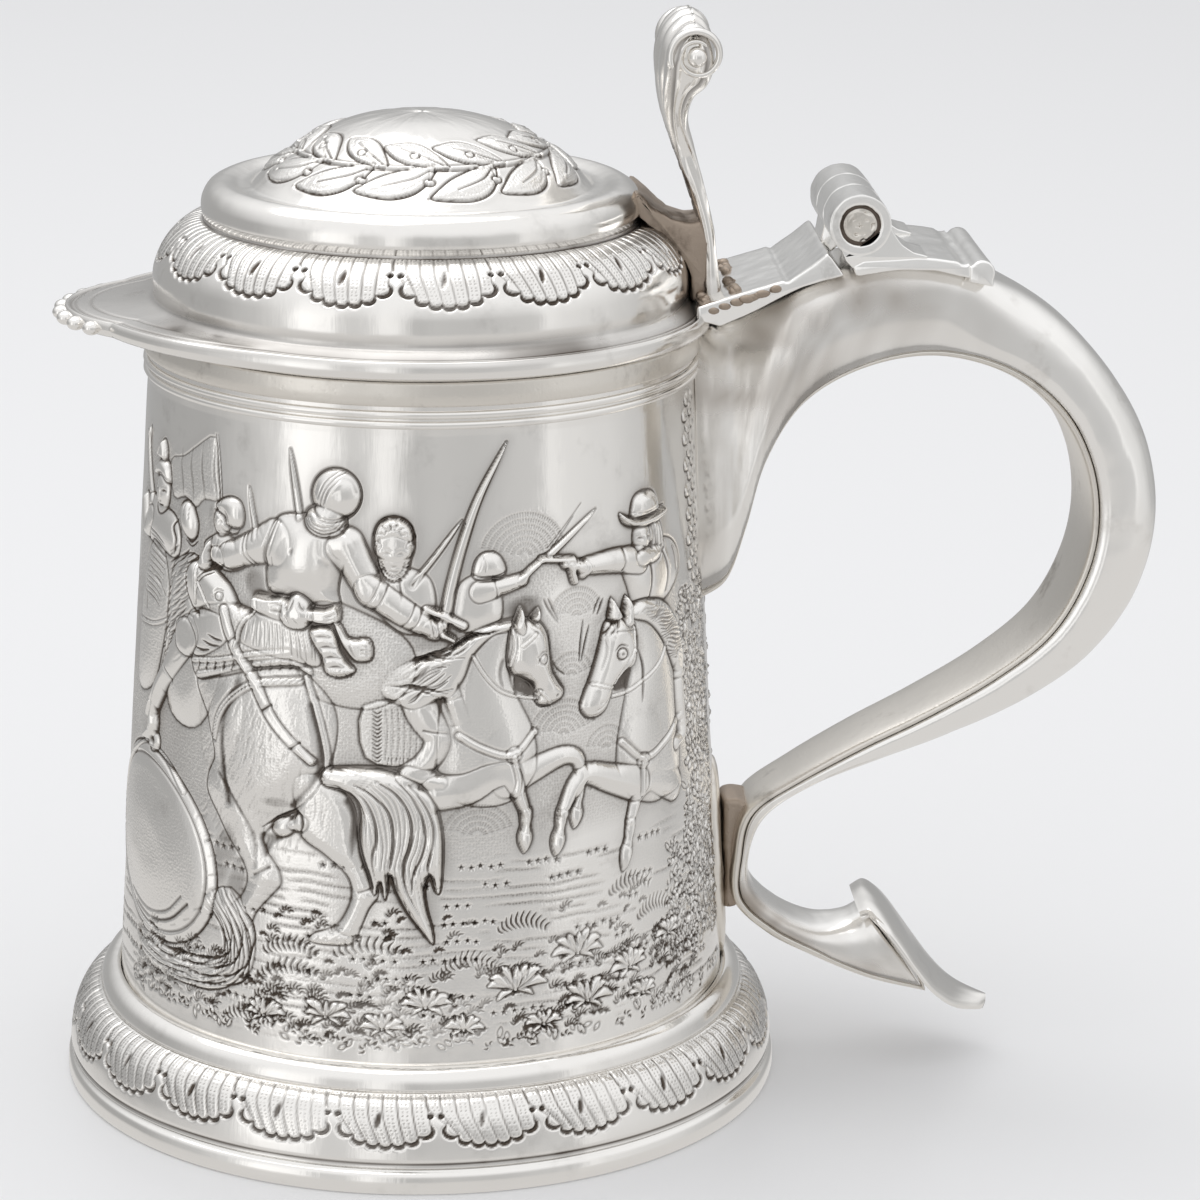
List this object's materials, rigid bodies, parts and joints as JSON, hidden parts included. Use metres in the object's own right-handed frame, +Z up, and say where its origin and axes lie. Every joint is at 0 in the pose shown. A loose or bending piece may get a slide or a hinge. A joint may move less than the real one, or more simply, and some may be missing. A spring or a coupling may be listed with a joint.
{
  "type": "lidded tankard",
  "caption": "Tapered metal drinking tankard with a chased drum, spreading foot, scroll handle, thumbpiece and a hinged stepped dome lid.",
  "frame": {"origin": "centre of the ring that the foot stands on, on the table", "axes": "+Z up along the axis of the drum, +X towards the handle, +Y along the hinge pin"},
  "size_m": [0.1861, 0.123, 0.1835],
  "materials": {
    "polished_silver": "polished, with fine wear",
    "chased_silver": "chased and polished, with dark oxide in the recesses",
    "worn_silver": "satin, tarnished"
  },
  "bodies": {
    "vessel": {"drum": "chased_silver", "base_disc": "worn_silver", "foot_skirt": "chased_silver", "foot_rim": "polished_silver", "foot_collar": "polished_silver", "lip_band": "polished_silver", "upper_reed": "polished_silver", "lower_reed": "polished_silver", "handle_shell": "polished_silver", "handle_strip": "worn_silver", "lower_backing_plate": "worn_silver", "lower_strut": "worn_silver", "terminal_shield": "polished_silver", "handle_hinge_leaf": "polished_silver", "leaf_end_bead": "polished_silver", "front_knuckle": "polished_silver", "rear_knuckle": "polished_silver", "hinge_pin": "worn_silver"},
    "lid": {"lid_shell": "chased_silver", "lid_edge_wire": "polished_silver", "lid_bezel": "worn_silver", "lid_point": "polished_silver", "lid_point_knobs": "polished_silver", "thumbpiece": "polished_silver", "thumbpiece_bosses": "polished_silver", "thumbpiece_bracket": "worn_silver", "lid_hinge_strap": "polished_silver", "lid_knuckle": "polished_silver"}
  },
  "joints": [
    {"name": "lid_hinge", "type": "hinge", "parent": "vessel", "child": "lid", "pos_m": [0.0713, 0, 0.15], "axis": [0, 1, 0], "range_deg": [0, 150]}
  ]
}
